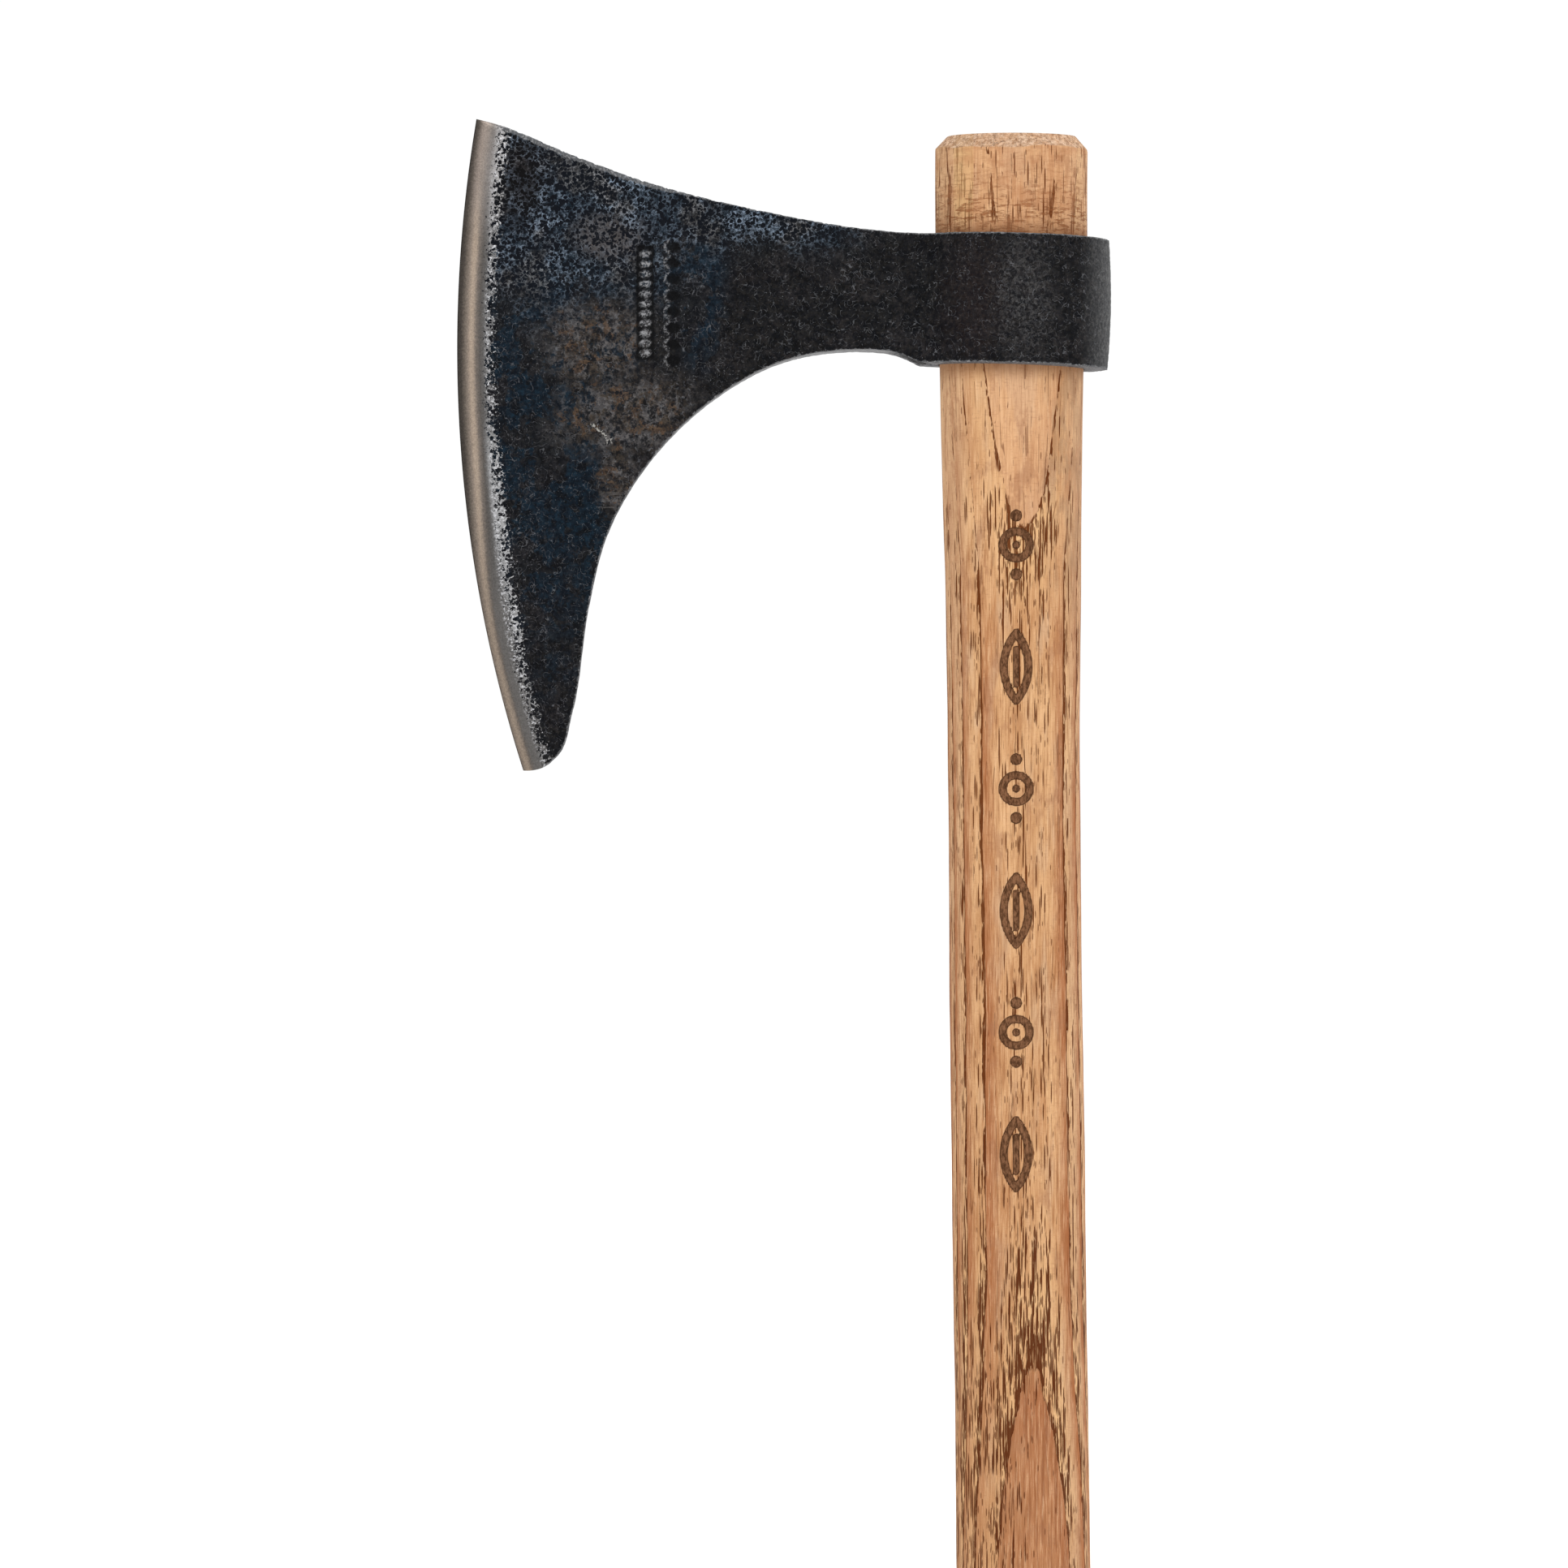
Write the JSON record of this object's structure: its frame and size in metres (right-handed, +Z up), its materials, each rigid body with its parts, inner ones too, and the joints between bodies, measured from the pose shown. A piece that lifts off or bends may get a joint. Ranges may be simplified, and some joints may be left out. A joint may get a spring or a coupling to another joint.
{
  "type": "carving hatchet",
  "caption": "Bearded carving hatchet: forged steel head with a curved ground edge and tapered oval eye, pushed onto a straight oval hickory haft.",
  "frame": {"origin": "centre of the haft's foot, on its flat end face", "axes": "+Z up the haft to its crown, -X towards the cutting edge, +Y across the thickness"},
  "size_m": [0.1709, 0.0398, 0.5047],
  "materials": {
    "haft_wood": "satin",
    "forged_steel": "satin"
  },
  "bodies": {
    "haft": {"haft": "haft_wood"},
    "head": {"axe_head": "forged_steel"}
  },
  "joints": [
    {"name": "head_off_haft", "type": "slide", "parent": "haft", "child": "head", "axis": [0.0103, 0, -0.9999], "range_m": [0, 0.48]}
  ]
}
